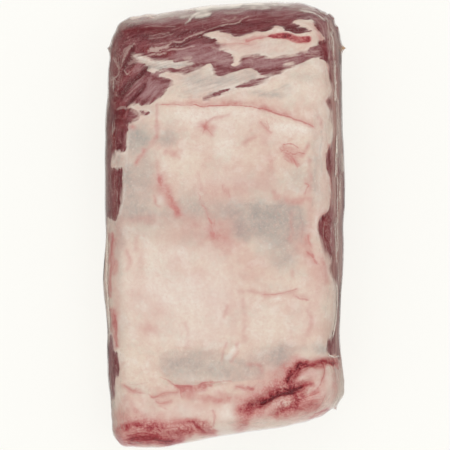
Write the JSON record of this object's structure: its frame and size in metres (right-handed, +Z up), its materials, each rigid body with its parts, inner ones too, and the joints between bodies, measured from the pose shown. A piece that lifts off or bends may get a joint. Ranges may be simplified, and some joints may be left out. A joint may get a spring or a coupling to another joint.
{
  "type": "boneless ribeye roast",
  "caption": "Whole raw boneless ribeye roast, a long slab with a fat cap, skin-tight in clear vacuum film, lying with its fatty face up.",
  "frame": {"origin": "middle of the footprint, on the surface that the roast lies on", "axes": "+Z up, +Y along the roast to its far end (the top of the picture), +X to its thick rib-eye side (the right of the picture)"},
  "size_m": [0.2144, 0.3908, 0.1008],
  "materials": {
    "meat_in_film": "raw fat and lean meat under glossy clear film"
  },
  "bodies": {
    "root": {"roast": "meat_in_film"}
  },
  "joints": []
}
